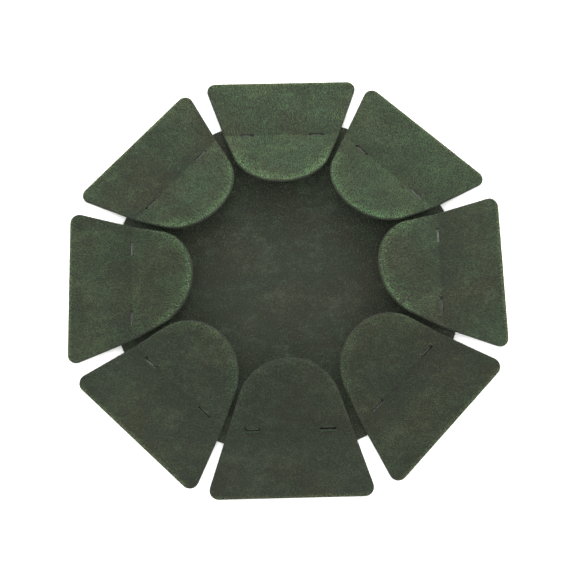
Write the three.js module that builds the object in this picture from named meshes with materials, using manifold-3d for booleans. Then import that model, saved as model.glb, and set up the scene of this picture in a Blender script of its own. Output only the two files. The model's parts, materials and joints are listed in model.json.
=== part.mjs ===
// An all-direction putting practice cup: a round steel base plate with eight loose, flock-covered steel
// petals round it. Each petal is folded along a line and rocks on two upright tabs of the base, so a ball
// that rolls up over the fold tips the petal inwards and drops into the middle, and the petal falls back.
// Millimetres, +Z up. The origin is on the floor under the middle of the cup, and petal 1 points along +Y.

import * as THREE from 'three';
import { mergeVertices } from 'three/addons/utils/BufferGeometryUtils.js';
import Module from 'manifold-3d';

const wasm = await Module();
wasm.setup();

// ---- driving dimensions ----
const PETALS = 8;
const SHEET = 1.0; // steel sheet of the plate and the petals
const GLUE_GAP = 0.3; // the glue line between the steel and its flock
const FLOCK = 0.6; // standing height of the flock

const OUTER_APOTHEM = 129.7; // middle of the cup to the middle of a petal's outer edge
const OUTER_HALF_WIDTH = 48.25; // of a petal, at its outer edge, before the corners are rounded
const CORNER_RADIUS = 5;
const PETAL_LENGTH = 79.8; // flat, from the outer edge to the tip
const FOLD_FROM_EDGE = 38.7; // flat, from the outer edge to the fold
const TIP_RADIUS = 29.7;
const OUTER_SLOPE = THREE.MathUtils.degToRad(7.4); // ramp that the ball climbs first
const INNER_SLOPE = THREE.MathUtils.degToRad(24.7); // steeper panel from the fold up to the tip

const PLATE_RADIUS = 105;
const TAB_SPREAD = 21.6; // petal's centre line to the middle of each tab
const TAB_ROOT_WIDTH = 13; // the shoulders that carry the fold
const TAB_NECK_WIDTH = 8; // the part that stands in the petal's slot
const TAB_NECK_RISE = 1.1; // above the rocking line
const TAB_CORNER = 1.2; // bevel on the neck's top corners
const TAB_INSET = 0.25; // the tabs stand this much inside the fold line, so a tipped petal clears them
const SHOULDER_GAP = 0.3;
const WINDOW_WIDTH = 14; // opening that a lanced tab leaves in the plate, outside the tab
const WINDOW_DEPTH = 6.2;
const FLOCK_MARGIN = 0.4; // bare edge round the plate's openings and its rim
const SLOT_LENGTH = 9.5;
const SLOT_WIDTH = 2.8;
const FLOCK_SLOT_LENGTH = 9.1; // the flock closes in a little over the steel's slot
const FLOCK_SLOT_WIDTH = 2.0;

// How each loose petal happens to sit on its tabs: its turn in degrees, counter-clockwise from above, and
// its slide along the fold, both inside the play of the slots.
const SEATING = [
  [-1.1, 0.3], [1.0, 0], [-0.9, -0.6], [0.4, -0.5], [-0.6, 0.6], [0.5, -0.1], [0.3, -0.6], [0.5, -0.4],
];

// ---- worked out from them ----
const OUTER_RUN = FOLD_FROM_EDGE * Math.cos(OUTER_SLOPE);
const FOLD_RADIUS = OUTER_APOTHEM - OUTER_RUN;
const ROCK_HEIGHT = FOLD_FROM_EDGE * Math.sin(OUTER_SLOPE); // height of the fold's underside
const TIP_CENTRE = PETAL_LENGTH - TIP_RADIUS; // flat, from the outer edge to the tip arc's centre
const REACH = 60; // longer than either panel
const TALL = 90; // taller than the whole cup
const ARC_STEPS = 16; // straight steps along each round stretch of a petal

// ---- solids ----
function toSolid(geometry) {
  geometry.deleteAttribute('normal');
  geometry.deleteAttribute('uv');
  const merged = mergeVertices(geometry, 1e-5);
  return new wasm.Manifold(new wasm.Mesh({
    numProp: 3,
    vertProperties: new Float32Array(merged.attributes.position.array),
    triVerts: new Uint32Array(merged.index.array),
  }));
}

function toGeometry(solid) {
  const mesh = solid.getMesh();
  const geometry = new THREE.BufferGeometry();
  geometry.setAttribute('position', new THREE.BufferAttribute(new Float32Array(mesh.vertProperties), 3));
  geometry.setIndex(new THREE.BufferAttribute(new Uint32Array(mesh.triVerts), 1));
  geometry.computeVertexNormals();
  return geometry;
}

function box(width, depth, height, x, y, z) {
  return toSolid(new THREE.BoxGeometry(width, depth, height).translate(x, y, z));
}

// A shape drawn in the plan, standing up from z = bottom.
function upright(shape, bottom, height, curveSegments) {
  const options = { depth: height, bevelEnabled: false, curveSegments };
  return toSolid(new THREE.ExtrudeGeometry(shape, options).translate(0, 0, bottom));
}

// A shape drawn in the Y-Z plane, swept along X.
function crosswise(shape, width) {
  const geometry = new THREE.ExtrudeGeometry(shape, { depth: width, bevelEnabled: false });
  geometry.translate(0, 0, -width / 2);
  const axes = [new THREE.Vector3(0, 1, 0), new THREE.Vector3(0, 0, 1), new THREE.Vector3(1, 0, 0)];
  return toSolid(geometry.applyMatrix4(new THREE.Matrix4().makeBasis(...axes)));
}

// ---- one petal, with the middle of its rocking line at the origin and +Y outwards ----
function petalOutline() {
  const cornerToTipCentre = Math.hypot(TIP_CENTRE, OUTER_HALF_WIDTH);
  const taper = Math.acos(TIP_RADIUS / cornerToTipCentre) - Math.atan2(TIP_CENTRE, OUTER_HALF_WIDTH);
  const foldHalfWidth = OUTER_HALF_WIDTH - FOLD_FROM_EDGE * Math.tan(taper);
  const squeeze = Math.cos(INNER_SLOPE);
  const tipY = -(TIP_CENTRE - FOLD_FROM_EDGE) * squeeze;

  const side = Math.atan2(OUTER_HALF_WIDTH - foldHalfWidth, OUTER_RUN);
  const reach = CORNER_RADIUS / Math.tan((Math.PI / 2 - side) / 2);
  const cornerX = OUTER_HALF_WIDTH - reach;
  const cornerY = OUTER_RUN - CORNER_RADIUS;

  const shape = new THREE.Shape();
  shape.absarc(cornerX, cornerY, CORNER_RADIUS, Math.PI / 2, -side, true);
  shape.lineTo(foldHalfWidth, 0);
  shape.absellipse(0, tipY, TIP_RADIUS, TIP_RADIUS * squeeze, -taper, taper - Math.PI, true);
  shape.lineTo(-foldHalfWidth, 0);
  shape.absarc(-cornerX, cornerY, CORNER_RADIUS, Math.PI + side, Math.PI / 2, true);
  return shape;
}

// The folded section between two heights above the underside of the sheet, mitred at the fold.
function foldedSection(low, high) {
  const across = 1 + Math.cos(INNER_SLOPE - OUTER_SLOPE);
  const mitreY = (Math.sin(OUTER_SLOPE) + Math.sin(INNER_SLOPE)) / across;
  const mitreZ = (Math.cos(OUTER_SLOPE) + Math.cos(INNER_SLOPE)) / across;
  const point = (height, outward) => {
    const slope = outward > 0 ? -OUTER_SLOPE : -INNER_SLOPE;
    const run = outward * REACH;
    return [height * mitreY + run * Math.cos(slope), height * mitreZ + run * Math.sin(slope)];
  };
  const shape = new THREE.Shape();
  shape.moveTo(...point(low, 1));
  shape.lineTo(...point(high, 1));
  shape.lineTo(...point(high, 0));
  shape.lineTo(...point(high, -1));
  shape.lineTo(...point(low, -1));
  shape.lineTo(...point(low, 0));
  return shape;
}

function petalLayer(low, high, slotLength, slotWidth) {
  const sheet = crosswise(foldedSection(low, high), 2 * OUTER_HALF_WIDTH);
  let layer = sheet.intersect(upright(petalOutline(), -TALL / 2, TALL, ARC_STEPS));
  for (const sideOfPetal of [-1, 1]) {
    layer = layer.subtract(box(slotLength, slotWidth, TALL, sideOfPetal * TAB_SPREAD, 0, 0));
  }
  return toGeometry(layer);
}

// ---- the base, with its sixteen lanced tabs ----
function disc(radius, bottom, height) {
  const cylinder = new THREE.CylinderGeometry(radius, radius, height, 96);
  return toSolid(cylinder.rotateX(Math.PI / 2).translate(0, 0, bottom + height / 2));
}

function tabOutline() {
  const root = TAB_ROOT_WIDTH / 2;
  const neck = TAB_NECK_WIDTH / 2;
  const shoulder = ROCK_HEIGHT - SHOULDER_GAP;
  const top = ROCK_HEIGHT + TAB_NECK_RISE;
  const bevel = TAB_CORNER / 2;
  const shape = new THREE.Shape();
  shape.moveTo(-root, 0);
  shape.lineTo(root, 0);
  shape.lineTo(root, shoulder);
  shape.lineTo(neck, shoulder);
  shape.lineTo(neck, top - bevel);
  shape.lineTo(neck - TAB_CORNER, top);
  shape.lineTo(TAB_CORNER - neck, top);
  shape.lineTo(-neck, top - bevel);
  shape.lineTo(-neck, shoulder);
  shape.lineTo(-root, shoulder);
  return shape;
}

// Runs once for each tab, with the turn that carries a piece at the top of the cup to its place.
function forEachTab(place) {
  for (let k = 0; k < PETALS; k++) {
    for (const sideOfPetal of [-1, 1]) {
      const turn = new THREE.Matrix4().makeRotationZ(-k * 2 * Math.PI / PETALS);
      place(sideOfPetal * TAB_SPREAD, turn);
    }
  }
}

const TAB_OUTER_FACE = FOLD_RADIUS - TAB_INSET + SHEET / 2;

function basePlate() {
  let plate = disc(PLATE_RADIUS, 0, SHEET);
  forEachTab((x, turn) => {
    const opening = new THREE.BoxGeometry(WINDOW_WIDTH, WINDOW_DEPTH, TALL);
    opening.translate(x, TAB_OUTER_FACE + WINDOW_DEPTH / 2, 0);
    plate = plate.subtract(toSolid(opening.applyMatrix4(turn)));
  });
  forEachTab((x, turn) => {
    const tab = new THREE.ExtrudeGeometry(tabOutline(), { depth: SHEET, bevelEnabled: false });
    tab.rotateX(Math.PI / 2).translate(x, TAB_OUTER_FACE, 0);
    plate = plate.add(toSolid(tab.applyMatrix4(turn)));
  });
  return toGeometry(plate);
}

function baseFlock() {
  let flock = disc(PLATE_RADIUS - FLOCK_MARGIN, SHEET + GLUE_GAP, FLOCK);
  forEachTab((x, turn) => {
    const depth = WINDOW_DEPTH + SHEET + 2 * FLOCK_MARGIN;
    const opening = new THREE.BoxGeometry(WINDOW_WIDTH + 2 * FLOCK_MARGIN, depth, TALL);
    opening.translate(x, TAB_OUTER_FACE - SHEET - FLOCK_MARGIN + depth / 2, 0);
    flock = flock.subtract(toSolid(opening.applyMatrix4(turn)));
  });
  return toGeometry(flock);
}

// ---- the scene graph ----
function named(name, geometry, color, roughness, metalness) {
  const mesh = new THREE.Mesh(geometry, new THREE.MeshStandardMaterial({ color, roughness, metalness }));
  mesh.name = name;
  return mesh;
}

const PAINT = 0x2b3529;
const FLOCK_GREEN = 0x40493c;

const cup = new THREE.Group();
cup.add(named('base_plate', basePlate(), PAINT, 0.6, 0.3));
cup.add(named('base_flock', baseFlock(), FLOCK_GREEN, 1, 0));

const petalSheet = petalLayer(0, SHEET, SLOT_LENGTH, SLOT_WIDTH);
const flockBottom = SHEET + GLUE_GAP;
const petalFlock = petalLayer(flockBottom, flockBottom + FLOCK, FLOCK_SLOT_LENGTH, FLOCK_SLOT_WIDTH);

SEATING.forEach(([turn, slide], k) => {
  const sector = new THREE.Group();
  sector.rotation.z = -k * 2 * Math.PI / PETALS;
  const petal = new THREE.Group();
  petal.position.set(slide, FOLD_RADIUS, ROCK_HEIGHT);
  petal.rotation.z = THREE.MathUtils.degToRad(turn);
  petal.add(named(`petal_${k + 1}`, petalSheet, PAINT, 0.6, 0.3));
  petal.add(named(`petal_flock_${k + 1}`, petalFlock, FLOCK_GREEN, 1, 0));
  sector.add(petal);
  cup.add(sector);
});

export default cup;
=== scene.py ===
"""An all-direction putting practice cup: a flocked steel plate ringed by eight loose flocked petals.

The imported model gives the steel: the plate with its upright tabs, and the folded petals that rock on
them. This script dresses it: each flock coat is a wrapped shell with its own standing pile of fibres,
the steel gets its paint, and the cup lies on a white studio floor. Metres, +Z up.
"""

import json
import math

import bmesh
import bpy
from mathutils import Matrix, Vector


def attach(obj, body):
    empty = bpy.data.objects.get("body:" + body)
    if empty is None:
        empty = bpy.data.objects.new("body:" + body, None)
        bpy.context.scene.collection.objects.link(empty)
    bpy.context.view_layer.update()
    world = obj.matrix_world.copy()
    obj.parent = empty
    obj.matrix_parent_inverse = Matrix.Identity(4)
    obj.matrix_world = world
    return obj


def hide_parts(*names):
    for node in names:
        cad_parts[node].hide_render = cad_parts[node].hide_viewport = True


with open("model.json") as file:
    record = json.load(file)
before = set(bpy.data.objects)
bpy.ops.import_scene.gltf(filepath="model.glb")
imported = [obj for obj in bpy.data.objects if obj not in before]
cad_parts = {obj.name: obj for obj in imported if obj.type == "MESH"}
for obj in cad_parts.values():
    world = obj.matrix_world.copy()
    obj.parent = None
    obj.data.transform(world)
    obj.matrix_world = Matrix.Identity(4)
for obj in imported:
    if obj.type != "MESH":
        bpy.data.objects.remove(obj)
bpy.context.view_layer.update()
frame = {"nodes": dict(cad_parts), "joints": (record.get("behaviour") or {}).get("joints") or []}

MM = 0.001
PETALS = 8

# The petal's flat pattern, as the steel is cut. u runs inwards from the outer edge, x across.
OUTER_HALF_WIDTH = 48.25 * MM
CORNER_RADIUS = 5 * MM
PETAL_LENGTH = 79.8 * MM
FOLD_FROM_EDGE = 38.7 * MM
TIP_RADIUS = 29.7 * MM
OUTER_SLOPE = math.radians(7.4)
INNER_SLOPE = math.radians(24.7)
TAB_SPREAD = 21.6 * MM  # from a petal's middle line to the middle of each tab

# The flock coat over it. Heights are above the underside of the steel.
FOLD_HALF_BEND = 1.0 * MM  # flat length on each side of the fold over which the coat turns
COAT_TOP = 1.55 * MM  # the pile stands on this
COAT_INSIDE = 1.06 * MM  # just clear of the steel's top
SLOT_LENGTH = 9.3 * MM
SLOT_WIDTH = 2.5 * MM
SLOT_FROM_EDGE = FOLD_FROM_EDGE + 0.2 * MM  # a little inside the fold, to clear a tipped tab
SLOT_COLLAR = 0.6 * MM  # how far round a slot its own amount of pile reaches
ON_EDGE = 1e-5  # slack for points that lie on a slot's edge
CORNER_STEPS = 8
TIP_STEPS = 56

# The base plate's coat, open over the windows that its tabs were cut from.
PLATE_RADIUS = 105 * MM
PLATE_STEPS = 192
WINDOW_WIDTH = 14.8 * MM
WINDOW_DEPTH = 8.0 * MM
WINDOW_SETBACK = 1.15 * MM  # how far inside the folds' circle a window starts
CUTTER_HEIGHT = 20 * MM
LOWEST_PILE = 0.8 * MM
SHARP_ANGLE = math.radians(40)


# ---- small tools ----
def srgb(code):
    """An sRGB hex code as linear RGBA."""
    values = [int(code[i : i + 2], 16) / 255 for i in (1, 3, 5)]
    linear = [v / 12.92 if v <= 0.04045 else ((v + 0.055) / 1.055) ** 2.4 for v in values]
    return (*linear, 1.0)


def add_node(tree, kind, inputs=None, **settings):
    """Adds a node, sets its properties, then its inputs, each a value or an output to link."""
    node = tree.nodes.new(kind)
    for name, value in settings.items():
        setattr(node, name, value)
    for name, value in (inputs or {}).items():
        socket = node.inputs[name]
        if isinstance(value, bpy.types.NodeSocket):
            tree.links.new(value, socket)
        else:
            socket.default_value = value
    return node


def new_object(name, data):
    made = bpy.data.objects.new(name, data)
    bpy.context.scene.collection.objects.link(made)
    return made


def smooth(mesh):
    for polygon in mesh.polygons:
        polygon.use_smooth = True


def object_from(name, mesh):
    """A smooth object from a closed bmesh, with its faces pointing out."""
    bmesh.ops.recalc_face_normals(mesh, faces=mesh.faces)
    if mesh.calc_volume(signed=True) < 0:
        bmesh.ops.reverse_faces(mesh, faces=mesh.faces)
    data = bpy.data.meshes.new(name)
    mesh.to_mesh(data)
    mesh.free()
    smooth(data)
    return new_object(name, data)


def new_material(name):
    material = bpy.data.materials.new(name)
    material.use_nodes = True
    material.node_tree.nodes.clear()
    return material


def finish_material(material, inputs):
    """Gives the material its one shader, with these inputs."""
    tree = material.node_tree
    shader = add_node(tree, "ShaderNodeBsdfPrincipled", inputs)
    add_node(tree, "ShaderNodeOutputMaterial", {"Surface": shader.outputs["BSDF"]})
    return material


def math_node(tree, operation, *values):
    return add_node(tree, "ShaderNodeMath", dict(enumerate(values)), operation=operation).outputs[0]


def vector_node(tree, operation, *values, **inputs):
    """Vector maths on values in order, with inputs such as Scale by name."""
    given = {**dict(enumerate(values)), **inputs}
    return add_node(tree, "ShaderNodeVectorMath", given, operation=operation).outputs["Vector"]


def map_range(tree, value, before, after=(0.0, 1.0), **settings):
    """Carries value from the range before to the range after, and holds it at the ends."""
    inputs = {"Value": value, "From Min": before[0], "From Max": before[1],
              "To Min": after[0], "To Max": after[1]}
    return add_node(tree, "ShaderNodeMapRange", inputs, **settings).outputs["Result"]


def axis_of(tree, vector, axis):
    return add_node(tree, "ShaderNodeSeparateXYZ", {"Vector": vector}).outputs[axis]


def ramp(tree, value, stops):
    """A colour ramp on value, with (place, hex code) stops."""
    node = add_node(tree, "ShaderNodeValToRGB", {"Fac": value})
    elements = node.color_ramp.elements
    while len(elements) < len(stops):
        elements.new(0.5)
    for element, (place, code) in zip(elements, stops):
        element.position = place
        element.color = srgb(code)
    return node.outputs["Color"]


def mixed(tree, factor, low, high):
    """The colour low at factor 0 and high at 1."""
    node = add_node(tree, "ShaderNodeMix", {0: factor, 6: low, 7: high}, data_type="RGBA")
    return node.outputs[2]


def noise(tree, vector, size, detail=2.0, roughness=0.5, distortion=0.0):
    """Noise whose lumps are about size metres across."""
    settings = {"Vector": vector, "Scale": 1 / size, "Detail": detail, "Roughness": roughness,
                "Distortion": distortion}
    return add_node(tree, "ShaderNodeTexNoise", settings).outputs["Fac"]


def bumped(tree, height, strength, distance):
    """Normals raised by height."""
    settings = {"Height": height, "Strength": strength, "Distance": distance}
    return add_node(tree, "ShaderNodeBump", settings).outputs["Normal"]


# ---- materials ----
# The sizes of the nap's lumps, and how strongly each part shows.
BRUSH_STRETCH = (1, 1.7, 1)
BRUSH_ANGLE = (0, 0, 0.6)
PATCH_SIZE = 26 * MM
STREAK_SIZE = 6 * MM
GRAIN_SIZE = 1.1 * MM
NAP_CONTRAST = 1.1
GRAIN_CONTRAST = 0.7
SHADE_GAIN = 0.7

# On a petal, sheen is painted along the tip, shade along the fold and light along the outer edge.
TIP_SHEEN_BAND = 7 * MM
TIP_SHEEN_FADE = 12 * MM
TIP_SHEEN = 0.42
FOLD_SHADE_FADE = (16 * MM, 2 * MM)  # outwards from the fold, where the painted shade starts and is full
FOLD_SHADE_STOP = 1 * MM  # inwards from the fold
FOLD_SHADE = -0.13
EDGE_LIGHT_WIDTH = 2 * MM
EDGE_LIGHT_COLOR = "#7b8a5e"

# From between the fibres to their ends; the lightest stop is reached where sheen is painted at the
# tips and on the petals painted lightest.
FLOCK_PLACES = (0.0, 0.35, 0.7, 1.0)
PETAL_COLORS = ("#22241f", "#383f34", "#52694b", "#6b9866")
BASE_COLORS = ("#23261f", "#3c4439", "#52694c", "#63805b")
WARM_COLORS = ("#24241e", "#3f4134", "#5a644a", "#6e8b61")
WARM_SIZE = 34 * MM
WARM_FADE = (0.42, 0.66)
WARM_AMOUNT = 0.75
SHEEN_COLOR = "#9cc78c"
GROUND_SHEEN = 0.12
PILE_SHEEN = 0.55


def painted_tip_sheen(tree, pattern):
    """1 along the round tip of a petal, fading inwards: the band where sheen is painted."""
    tip_centre = (0, PETAL_LENGTH - TIP_RADIUS, 0)
    spoke = vector_node(tree, "SUBTRACT", pattern, tip_centre)
    length = add_node(tree, "ShaderNodeVectorMath", {0: spoke}, operation="LENGTH")
    band = map_range(tree, length.outputs["Value"], (TIP_RADIUS - TIP_SHEEN_BAND, TIP_RADIUS),
                     interpolation_type="SMOOTHSTEP")
    at_tip = map_range(tree, axis_of(tree, spoke, "Y"), (0.0, TIP_SHEEN_FADE))
    return math_node(tree, "MULTIPLY", band, at_tip)


def painted_fold_shade(tree, pattern):
    """1 on a petal's outer panel at the fold, fading outwards: where shade is painted."""
    run = axis_of(tree, pattern, "Y")
    start, full = FOLD_SHADE_FADE
    rise = map_range(tree, run, (FOLD_FROM_EDGE - start, FOLD_FROM_EDGE - full))
    beyond = map_range(tree, run, (FOLD_FROM_EDGE, FOLD_FROM_EDGE + FOLD_SHADE_STOP))
    return math_node(tree, "SUBTRACT", rise, beyond)


def painted_edge_light(tree, pattern):
    """1 at a petal's outer edge, fading inwards: where light from the white floor is painted."""
    return map_range(tree, axis_of(tree, pattern, "Y"), (EDGE_LIGHT_WIDTH, 0.0))


def flock_material(name, on_petal, colors, sheen_weight):
    """Nylon flock, shot upright into glue: dark between the fibres and lighter along them, so it
    brightens where it is seen edge on, with patches that are paler or warmer where it is worn. On a
    petal, sheen is painted along the tip, shade along the fold and light along the outer edge, and
    each petal carries its own painted shade."""
    material = new_material(name)
    tree = material.node_tree
    place = add_node(tree, "ShaderNodeTexCoord").outputs["Object"]
    brushed = add_node(tree, "ShaderNodeMapping", {
        "Vector": place, "Scale": BRUSH_STRETCH, "Rotation": BRUSH_ANGLE}).outputs["Vector"]
    patches = noise(tree, brushed, PATCH_SIZE, detail=3, roughness=0.55, distortion=0.6)
    streaks = noise(tree, brushed, STREAK_SIZE, detail=3, roughness=0.6)
    grain = noise(tree, place, GRAIN_SIZE, roughness=0.6)
    nap = math_node(tree, "MULTIPLY", math_node(tree, "ADD", patches, streaks), 0.5)
    tone_and_shade = add_node(tree, "ShaderNodeAttribute", attribute_name="tone_and_shade").outputs["Fac"]
    pattern = add_node(tree, "ShaderNodeAttribute", attribute_name="pattern").outputs["Vector"]
    if on_petal:
        # Painted sheen along the tip, stronger on the petals painted lighter.
        tip_sheen = math_node(tree, "MULTIPLY", painted_tip_sheen(tree, pattern), tone_and_shade)
        nap = math_node(tree, "MULTIPLY_ADD", tip_sheen, TIP_SHEEN, nap)
        # Painted shade on the outer panel along the fold.
        nap = math_node(tree, "MULTIPLY_ADD", painted_fold_shade(tree, pattern), FOLD_SHADE, nap)
    shade = math_node(tree, "MULTIPLY_ADD", nap, NAP_CONTRAST, -NAP_CONTRAST / 2)
    shade = math_node(tree, "SUBTRACT", shade, GRAIN_CONTRAST / 2)
    shade = math_node(tree, "MULTIPLY_ADD", grain, GRAIN_CONTRAST, shade)
    # Adding this brings in each petal's painted shade along with the fibres' own tone.
    shade = math_node(tree, "MULTIPLY", math_node(tree, "ADD", shade, tone_and_shade), SHADE_GAIN)
    warmth = map_range(tree, noise(tree, place, WARM_SIZE), WARM_FADE, (0.0, WARM_AMOUNT))
    color = mixed(tree, warmth, ramp(tree, shade, list(zip(FLOCK_PLACES, colors))),
                  ramp(tree, shade, list(zip(FLOCK_PLACES, WARM_COLORS))))
    # Painted light along the outer edge: a yellow-green rim, as if lit from the white floor.
    if on_petal:
        edge_light = math_node(tree, "MULTIPLY", painted_edge_light(tree, pattern), tone_and_shade)
        color = mixed(tree, edge_light, color, srgb(EDGE_LIGHT_COLOR))
    return finish_material(material, {
        "Base Color": color, "Roughness": 0.95, "IOR": 1.53, "Specular IOR Level": 0.15,
        "Sheen Weight": sheen_weight, "Sheen Roughness": 0.4, "Sheen Tint": srgb(SHEEN_COLOR),
        "Normal": bumped(tree, grain, 0.6, 0.4 * MM)})


def painted_steel_material():
    """Steel sheet under a thin matt paint, a green so dark that it is nearly black."""
    material = new_material("matt_green_paint_on_steel")
    tree = material.node_tree
    place = add_node(tree, "ShaderNodeTexCoord").outputs["Object"]
    mottle = noise(tree, place, 30 * MM, detail=4)
    orange_peel = noise(tree, place, 1.2 * MM)
    return finish_material(material, {
        "Base Color": ramp(tree, mottle, [(0.3, "#20221b"), (0.7, "#292a22")]),
        "Roughness": map_range(tree, mottle, (0.3, 0.7), (0.5, 0.66)),
        "IOR": 1.5, "Specular IOR Level": 0.3,
        "Normal": bumped(tree, orange_peel, 0.25, 0.08 * MM)})


def floor_material():
    """A matt white paper sweep."""
    return finish_material(new_material("white_paper_sweep"), {
        "Base Color": srgb("#f4f4f2"), "Roughness": 0.9, "IOR": 1.5, "Specular IOR Level": 0.1})


# Each flock is a glued ground with little sheen and a pile of fibres with more.
PETAL_GROUND = flock_material("nylon_flock_ground_petals", True, PETAL_COLORS, GROUND_SHEEN)
PETAL_PILE = flock_material("nylon_flock_pile_petals", True, PETAL_COLORS, PILE_SHEEN)
BASE_GROUND = flock_material("nylon_flock_ground_base", False, BASE_COLORS, GROUND_SHEEN)
BASE_PILE = flock_material("nylon_flock_pile_base", False, BASE_COLORS, PILE_SHEEN)
STEEL_PAINT = painted_steel_material()

# ---- the petals' flock coats ----
CORNER_TO_TIP_CENTRE = math.hypot(PETAL_LENGTH - TIP_RADIUS, OUTER_HALF_WIDTH)
TAPER = (math.acos(TIP_RADIUS / CORNER_TO_TIP_CENTRE)
         - math.atan2(PETAL_LENGTH - TIP_RADIUS, OUTER_HALF_WIDTH))


def arc(cx, cu, radius, start, end, steps):
    """Points of an arc in the flat pattern with their outward normals; angles from +x towards +u."""
    for i in range(steps + 1):
        angle = start + (end - start) * i / steps
        normal = Vector((math.cos(angle), math.sin(angle)))
        yield Vector((cx, cu)) + normal * radius, normal


def petal_pattern():
    """The flat outline, counter-clockwise with x to the right and u upwards, with its normals."""
    corner_x = OUTER_HALF_WIDTH - CORNER_RADIUS / math.tan((math.pi / 2 - TAPER) / 2)
    points = list(arc(-corner_x, CORNER_RADIUS, CORNER_RADIUS, math.pi - TAPER, 1.5 * math.pi,
                      CORNER_STEPS))
    points += arc(corner_x, CORNER_RADIUS, CORNER_RADIUS, -math.pi / 2, TAPER, CORNER_STEPS)
    points += arc(0, PETAL_LENGTH - TIP_RADIUS, TIP_RADIUS, TAPER, math.pi - TAPER, TIP_STEPS)
    return points


FOLD_ROWS = [FOLD_HALF_BEND * step for step in (-1.6, -1, -0.5, 0, 0.5, 1, 1.6)]


def slope_at(u):
    """Slope of the folded coat at u, turning smoothly through the fold."""
    t = min(max((u - FOLD_FROM_EDGE) / FOLD_HALF_BEND, -1), 1) * 0.5 + 0.5
    return OUTER_SLOPE + (INNER_SLOPE - OUTER_SLOPE) * t


def fold_point(x, u, height):
    """A flat point at a height over the steel's underside, folded, in the hinge's own frame."""
    run = u - FOLD_FROM_EDGE
    side = 1 if run > 0 else -1
    stops = [0.0] + [row for row in FOLD_ROWS if 0 < side * row < abs(run)][::side] + [run]
    y = z = 0.0
    for start, stop in zip(stops, stops[1:]):
        slope = slope_at(FOLD_FROM_EDGE + (start + stop) / 2)
        y -= (stop - start) * math.cos(slope)
        z += (stop - start) * math.sin(slope)
    slope = slope_at(u)
    return Vector((x, y + height * math.sin(slope), z + height * math.cos(slope)))


def in_slot(point, play=0.0):
    """Whether a flat point is in one of the two slots, or within play of it."""
    across = abs(abs(point.x) - TAB_SPREAD) < SLOT_LENGTH / 2 + play
    return across and abs(point.y - SLOT_FROM_EDGE) < SLOT_WIDTH / 2 + play


def cut_panel(mesh, outline, offset):
    """The flat outline grown by offset, as faces cut along the fold and round the two slots."""
    mesh.faces.new([mesh.verts.new((*(point + normal * offset), 0)) for point, normal in outline])
    cuts = [((0, FOLD_FROM_EDGE + row, 0), (0, 1, 0)) for row in FOLD_ROWS]
    cuts += [((0, SLOT_FROM_EDGE + side * SLOT_WIDTH / 2, 0), (0, 1, 0)) for side in (-1, 1)]
    cuts += [((side * TAB_SPREAD + end * SLOT_LENGTH / 2, 0, 0), (1, 0, 0))
             for side in (-1, 1) for end in (-1, 1)]
    for place, normal in cuts:
        everything = mesh.verts[:] + mesh.edges[:] + mesh.faces[:]
        bmesh.ops.bisect_plane(mesh, geom=everything, dist=1e-7, plane_co=place, plane_no=normal)
    holes = [face for face in mesh.faces if in_slot(face.calc_center_median())]
    bmesh.ops.delete(mesh, geom=holes, context="FACES")


def slot_direction(point):
    """Into the slot, from one of its corners or sides."""
    x = abs(point.x) - TAB_SPREAD
    u = point.y - SLOT_FROM_EDGE
    at_end = abs(x) > SLOT_LENGTH / 2 - 1e-6
    at_side = abs(u) > SLOT_WIDTH / 2 - 1e-6
    step_x = -math.copysign(1, x * point.x) if at_end else 0
    step_u = -math.copysign(1, u) if at_side else 0
    return Vector((step_x, step_u))


# Each step down a rim: how far out it stands and its height, in mm, and how much pile stands on it.
OUTER_RIM = [(-0.5, 1.55, 1), (-0.25, 1.53, 0.95), (0.02, 1.42, 0.8), (0.2, 1.18, 0.6),
             (0.28, 0.85, 0.4), (0.28, 0.3, 0), (0.2, 0.14, 0), (0.05, 0.14, 0), (0.05, 1.06, 0)]
SLOT_RIM = [(0.02, 1.55, 1), (0.1, 1.52, 0.8), (0.16, 1.4, 0), (0.18, 1.06, 0)]
PANEL_INSET = -0.6  # where the flat panel ends, like the first step of the outer rim and before it


def run_rim(mesh, edges, steps, flat, direction, nap):
    """Carries an open rim through its steps by extruding it."""
    for offset, height, amount in steps:
        made = bmesh.ops.extrude_edge_only(mesh, edges=edges)["geom"]
        edges = [item for item in made if isinstance(item, bmesh.types.BMEdge)]
        for item in made:
            if isinstance(item, bmesh.types.BMVert):
                item.co = item[flat] + item[direction] * offset * MM
                item.co.z = height * MM
            elif isinstance(item, bmesh.types.BMFace):
                item[nap] = amount
        edges = [edge for edge in edges if edge.is_boundary]


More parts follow.
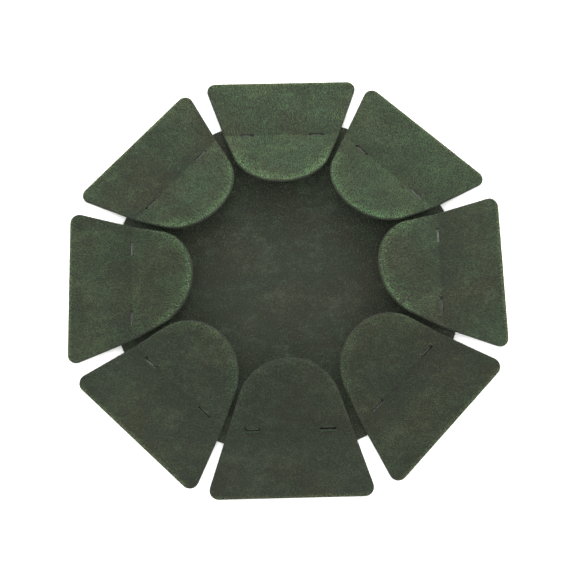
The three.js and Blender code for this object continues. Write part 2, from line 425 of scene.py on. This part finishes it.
def petal_coat(name, place, slot_nap):
    """The flock coat that wraps a petal's top and edges, with its faces marked by how much pile
    stands on them: slot_nap round the slots, and 1 elsewhere on top."""
    mesh = bmesh.new()
    flat = mesh.verts.layers.float_vector.new("pattern")
    direction = mesh.verts.layers.float_vector.new("direction")
    nap = mesh.faces.layers.float.new("nap")
    outline = petal_pattern()
    cut_panel(mesh, outline, PANEL_INSET * MM)
    for vert in mesh.verts:
        vert[flat] = vert.co
        if vert.is_boundary and not in_slot(vert.co, ON_EDGE):
            normal = min(outline, key=lambda entry: (entry[0] - vert.co.xy).length)[1]
            vert[direction] = (*normal, 0)
            vert[flat] = vert.co - vert[direction] * PANEL_INSET * MM
        elif vert.is_boundary:
            vert[direction] = (*slot_direction(vert.co), 0)
    rim = [edge for edge in mesh.edges if edge.is_boundary]
    slots = [edge for edge in rim if all(in_slot(vert.co, ON_EDGE) for vert in edge.verts)]
    outside = [edge for edge in rim if edge not in slots]
    for vert in mesh.verts:
        vert.co.z = COAT_TOP
    for face in mesh.faces:
        face[nap] = slot_nap if in_slot(face.calc_center_median(), SLOT_COLLAR) else 1.0

    inside = bmesh.ops.duplicate(mesh, geom=mesh.faces[:])["geom"]
    for item in inside:
        if isinstance(item, bmesh.types.BMVert):
            on_slot = in_slot(item.co, ON_EDGE)
            offset = SLOT_RIM[-1][0] if on_slot else OUTER_RIM[-1][0]
            item.co = item[flat] + item[direction] * offset * MM
            item.co.z = COAT_INSIDE
        elif isinstance(item, bmesh.types.BMFace):
            item[nap] = 0.0
    run_rim(mesh, outside, OUTER_RIM, flat, direction, nap)
    run_rim(mesh, slots, SLOT_RIM, flat, direction, nap)
    bmesh.ops.remove_doubles(mesh, verts=mesh.verts, dist=1e-6)
    for vert in mesh.verts:
        vert.co = place @ fold_point(*vert.co)
    mesh.verts.layers.float_vector.remove(direction)
    return object_from(name, mesh)


# ---- the standing pile, as Geometry Nodes ----
# Each fibre's own lean, length and tone, from low to high.
OWN_LEAN = ((-0.35, -0.35, -0.2), (0.35, 0.35, 0.2))
OWN_LENGTH = (0.6, 1.25)
OWN_TONE = (0.42, 0.88)
LENGTH_SEED = 7
TONE_SEED = 3
LONGEST = 1.2  # the most that extra nap adds to a fibre's length
LEVEL = (0.7, 0.88)  # upward part of a face's normal, over which the nap's common lean comes in


def pile_tree():
    """Short fibres on the faces marked nap, all leaning a little and each in its own way. They stand
    denser with the square of nap, and on steep faces they stand straight out."""
    tree = bpy.data.node_groups.new("standing_pile", "GeometryNodeTree")
    sockets = tree.interface
    sockets.new_socket("Geometry", in_out="OUTPUT", socket_type="NodeSocketGeometry")
    sockets.new_socket("Geometry", in_out="INPUT", socket_type="NodeSocketGeometry")
    for name, kind, value in [("Fibres per square metre", "NodeSocketFloat", 5e6),
                              ("Fibre length", "NodeSocketFloat", 0.9 * MM),
                              ("Fibre radius", "NodeSocketFloat", 0.13 * MM),
                              ("Swirl size", "NodeSocketFloat", 14 * MM),
                              ("Swirl lean", "NodeSocketFloat", 0.5),
                              ("Nap lean", "NodeSocketVector", (0, 0, 0)),
                              ("Tone", "NodeSocketFloat", 1.0),
                              ("Seed", "NodeSocketInt", 1)]:
        sockets.new_socket(name, in_out="INPUT", socket_type=kind).default_value = value
    sockets.new_socket("Material", in_out="INPUT", socket_type="NodeSocketMaterial")

    given = add_node(tree, "NodeGroupInput").outputs
    marked = add_node(tree, "GeometryNodeInputNamedAttribute", {"Name": "nap"}).outputs["Attribute"]
    crowd = math_node(tree, "MULTIPLY", marked, marked)
    density = math_node(tree, "MULTIPLY", crowd, given["Fibres per square metre"])
    points = add_node(tree, "GeometryNodeDistributePointsOnFaces", {
        "Mesh": given["Geometry"], "Density": density, "Seed": given["Seed"]}).outputs

    position = add_node(tree, "GeometryNodeInputPosition").outputs[0]
    fineness = math_node(tree, "DIVIDE", 1.0, given["Swirl size"])
    swirl = add_node(tree, "ShaderNodeTexNoise", {
        "Vector": position, "Scale": fineness, "Detail": 1.0}).outputs["Color"]
    centred = vector_node(tree, "SUBTRACT", swirl, (0.5, 0.5, 0.5))
    swept = vector_node(tree, "SCALE", centred, Scale=given["Swirl lean"])
    own = add_node(tree, "FunctionNodeRandomValue", {
        0: OWN_LEAN[0], 1: OWN_LEAN[1], "Seed": given["Seed"]}, data_type="FLOAT_VECTOR").outputs[0]
    flat = map_range(tree, axis_of(tree, points["Normal"], "Z"), LEVEL)
    laid = vector_node(tree, "SCALE", given["Nap lean"], Scale=flat)
    lean = vector_node(tree, "ADD", vector_node(tree, "ADD", swept, own), laid)
    upright = vector_node(tree, "ADD", points["Normal"], lean)
    turned = add_node(tree, "FunctionNodeAlignRotationToVector", {"Vector": upright}, axis="Z")

    cone = add_node(tree, "GeometryNodeMeshCone", {
        "Vertices": 3, "Radius Top": 0.0, "Radius Bottom": 1.0, "Depth": 1.0}, fill_type="NGON")
    own_length = add_node(tree, "FunctionNodeRandomValue", {
        2: OWN_LENGTH[0], 3: OWN_LENGTH[1], "Seed": LENGTH_SEED}, data_type="FLOAT").outputs[1]
    tall = math_node(tree, "MULTIPLY", own_length, given["Fibre length"])
    tall = math_node(tree, "MULTIPLY", tall, math_node(tree, "MINIMUM", marked, LONGEST))
    shape = add_node(tree, "ShaderNodeCombineXYZ", {
        "X": given["Fibre radius"], "Y": given["Fibre radius"], "Z": tall})
    own_tone = add_node(tree, "FunctionNodeRandomValue", {
        2: OWN_TONE[0], 3: OWN_TONE[1], "Seed": TONE_SEED}, data_type="FLOAT").outputs[1]
    # The stored value is each fibre's own random tone times the painted shade input, which lightens or
    # darkens a whole petal.
    toned = add_node(tree, "GeometryNodeStoreNamedAttribute", {
        "Geometry": points["Points"], "Name": "tone_and_shade",
        "Value": math_node(tree, "MULTIPLY", own_tone, given["Tone"])}, data_type="FLOAT")
    fibres = add_node(tree, "GeometryNodeInstanceOnPoints", {
        "Points": toned.outputs[0], "Instance": cone.outputs["Mesh"],
        "Rotation": turned.outputs[0], "Scale": shape.outputs[0]})
    real = add_node(tree, "GeometryNodeRealizeInstances", {"Geometry": fibres.outputs[0]})
    finished = add_node(tree, "GeometryNodeSetMaterial", {
        "Geometry": real.outputs[0], "Material": given["Material"]})
    add_node(tree, "NodeGroupOutput", {"Geometry": finished.outputs[0]})
    return tree


PILE = pile_tree()


def add_pile(name, coat, material, **settings):
    """Grows the pile on a coat and returns it as a plain mesh object."""
    modifier = coat.modifiers.new("pile", "NODES")
    modifier.node_group = PILE
    identifiers = {item.name: item.identifier for item in PILE.interface.items_tree
                   if item.in_out == "INPUT"}
    for label, value in {"Material": material, **settings}.items():
        modifier[identifiers[label]] = value
    evaluated = coat.evaluated_get(bpy.context.evaluated_depsgraph_get())
    mesh = bpy.data.meshes.new_from_object(evaluated)
    coat.modifiers.remove(modifier)
    mesh.name = name
    return new_object(name, mesh)


# ---- dress the petals ----
# Painted shade for each petal, first petal first: a factor on its fibres' tone, lighter on the petals
# at the back and darker on those at the front, standing in for how light falls on them.
PETAL_PAINTED_SHADES = [1.26, 1.19, 1.05, 0.83, 0.58, 0.77, 1.04, 1.07]
# How much pile stands round each petal's slots: under 1 leaves them open, over 1 hides them.
SLOT_NAPS = [0.7, 0.7, 0.8, 1.3, 2.6, 2.2, 0.8, 0.75]
NAP_LEAN = 0.9  # outwards
FIRST_SEED = 11

for k, joint in enumerate(frame["joints"]):
    hinge = Vector(joint["axis"]).normalized()
    outward = Vector((0, 0, 1)).cross(hinge)
    axes = Matrix((hinge, outward, (0, 0, 1))).transposed().to_4x4()
    place = Matrix.Translation(joint["pos_m"]) @ axes
    body = joint["child"]
    coat = petal_coat(f"{body}_coat", place, SLOT_NAPS[k])
    coat.data.materials.append(PETAL_GROUND)
    # Each petal's pile gets its painted shade here.
    pile = add_pile(f"{body}_pile", coat, PETAL_PILE, Seed=FIRST_SEED + k, Tone=PETAL_PAINTED_SHADES[k],
                    **{"Nap lean": outward * NAP_LEAN})
    for piece in (coat, pile):
        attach(piece, body)
    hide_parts(body.replace("petal", "petal_flock"))


# ---- the base's coat ----
BASE_SEED = 5
BASE_PILE_SHAPE = {"Fibres per square metre": 1.3e6, "Fibre radius": 0.2 * MM,
                   "Fibre length": 0.6 * MM}


def base_coat():
    """A disc of flock that wraps the plate's rim, still without its openings."""
    mesh = bmesh.new()
    steps = [(PLATE_RADIUS + offset * MM, height * MM) for offset, height, _ in OUTER_RIM]
    rings = []
    for radius, height in steps:
        rings.append([mesh.verts.new((radius * math.cos(a), radius * math.sin(a), height))
                      for a in (math.tau * i / PLATE_STEPS for i in range(PLATE_STEPS))])
    mesh.faces.new(rings[0])
    mesh.faces.new(rings[-1][::-1])
    for low, high in zip(rings, rings[1:]):
        for i in range(PLATE_STEPS):
            j = (i + 1) % PLATE_STEPS
            mesh.faces.new((low[i], high[i], high[j], low[j]))
    return object_from("base_coat", mesh)


coat = base_coat()
cutters = bmesh.new()
fold_radius = Vector(frame["joints"][0]["pos_m"]).xy.length
for k in range(PETALS):
    for side in (-1, 1):
        turn = Matrix.Rotation(-math.tau * k / PETALS, 4, "Z")
        run = fold_radius + WINDOW_DEPTH / 2 - WINDOW_SETBACK
        middle = Matrix.Translation((side * TAB_SPREAD, run, 0))
        size = Matrix.Diagonal((WINDOW_WIDTH, WINDOW_DEPTH, CUTTER_HEIGHT, 1))
        bmesh.ops.create_cube(cutters, size=1, matrix=turn @ middle @ size)
cutter = object_from("cutter", cutters)
cut = coat.modifiers.new("windows", "BOOLEAN")
cut.operation, cut.object, cut.solver = "DIFFERENCE", cutter, "EXACT"
data = bpy.data.meshes.new_from_object(coat.evaluated_get(bpy.context.evaluated_depsgraph_get()))
coat.modifiers.remove(cut)
coat.data = data
bpy.data.objects.remove(cutter)
marks = data.attributes.new("nap", "FLOAT", "FACE")
for polygon in data.polygons:
    on_top = polygon.center.z > LOWEST_PILE and polygon.normal.z > -0.1
    marks.data[polygon.index].value = float(on_top)
data.set_sharp_from_angle(angle=SHARP_ANGLE)
data.materials.clear()
data.materials.append(BASE_GROUND)
pile = add_pile("base_pile", coat, BASE_PILE, Seed=BASE_SEED, **BASE_PILE_SHAPE)
for piece in (coat, pile):
    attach(piece, "base")
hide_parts("base_flock")

# ---- the steel ----
for name in ["base_plate"] + [f"petal_{k + 1}" for k in range(PETALS)]:
    node = frame["nodes"][name]
    node.data.materials.clear()
    node.data.materials.append(STEEL_PAINT)

# ---- studio ----
FLOOR_SIZE = 6
FLOOR_DROP = 0.0001
bpy.ops.mesh.primitive_plane_add(size=FLOOR_SIZE, location=(0, 0, -FLOOR_DROP))
sweep = bpy.context.object
sweep.name = "floor_sweep"
sweep.data.materials.append(floor_material())

CAMERA_ELEVATION = math.radians(72.1)
CAMERA_TURN = math.radians(0.6)
CAMERA_ROLL = math.radians(2.65)
CAMERA_DISTANCE = 0.70
camera_data = bpy.data.cameras.new("camera")
camera_data.lens = 73.1
camera_data.sensor_width = 36
camera_data.shift_x = 0.0025
camera_data.shift_y = -0.0142
camera = new_object("camera", camera_data)
turned = Matrix.Rotation(CAMERA_TURN, 4, "Z")
tipped = Matrix.Rotation(math.pi / 2 - CAMERA_ELEVATION, 4, "X")
rolled = Matrix.Rotation(-CAMERA_ROLL, 4, "Z")
camera.matrix_world = turned @ tipped @ rolled @ Matrix.Translation((0, 0, CAMERA_DISTANCE))
bpy.context.scene.camera = camera


SOFTBOX_SIZE = 1.3


def softbox(name, place, power):
    """A square lamp at a place, facing the cup."""
    lamp = bpy.data.lights.new(name, "AREA")
    lamp.shape, lamp.size, lamp.energy = "SQUARE", SOFTBOX_SIZE, power
    made = new_object(name, lamp)
    made.location = place
    made.rotation_euler = (-Vector(place)).to_track_quat("-Z", "Y").to_euler()


softbox("back_softbox", (0.1, 1.3, 0.9), 30)
softbox("top_softbox", (-0.1, 0, 1.7), 14)
softbox("front_softbox", (0, -1.2, 1.1), 16)
softbox("right_softbox", (1.3, 0.1, 0.8), 8)
softbox("left_softbox", (-1.3, 0.1, 0.8), 5)

world = bpy.data.worlds.new("studio")
world.use_nodes = True
world.node_tree.nodes["Background"].inputs["Color"].default_value = (1, 1, 1, 1)
world.node_tree.nodes["Background"].inputs["Strength"].default_value = 1.0
bpy.context.scene.world = world
bpy.context.scene.view_settings.view_transform = "Standard"
